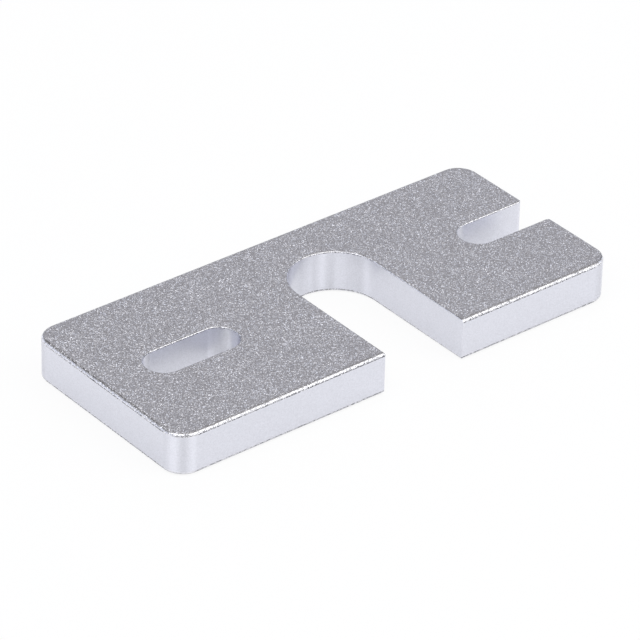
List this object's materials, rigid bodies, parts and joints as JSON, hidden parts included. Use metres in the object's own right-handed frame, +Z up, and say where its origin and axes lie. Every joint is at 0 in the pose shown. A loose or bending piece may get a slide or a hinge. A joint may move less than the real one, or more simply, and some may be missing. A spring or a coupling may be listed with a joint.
{
  "type": "hot end mounting plate",
  "caption": "Flat metal plate with a U-shaped cut that grips the grooved neck of a 3-D printer hot end, and end slots for its fixing screws.",
  "frame": {"origin": "middle of the underside", "axes": "+X along the plate towards the end with the open slot, +Y from the edge that the neck cut opens through to the plain long edge, +Z up through the thickness"},
  "size_m": [0.07, 0.03, 0.006],
  "materials": {
    "blasted_aluminium": "bead-blasted faces with smooth milled walls, clear anodised"
  },
  "bodies": {
    "root": {"mounting_plate": "blasted_aluminium"}
  },
  "joints": []
}
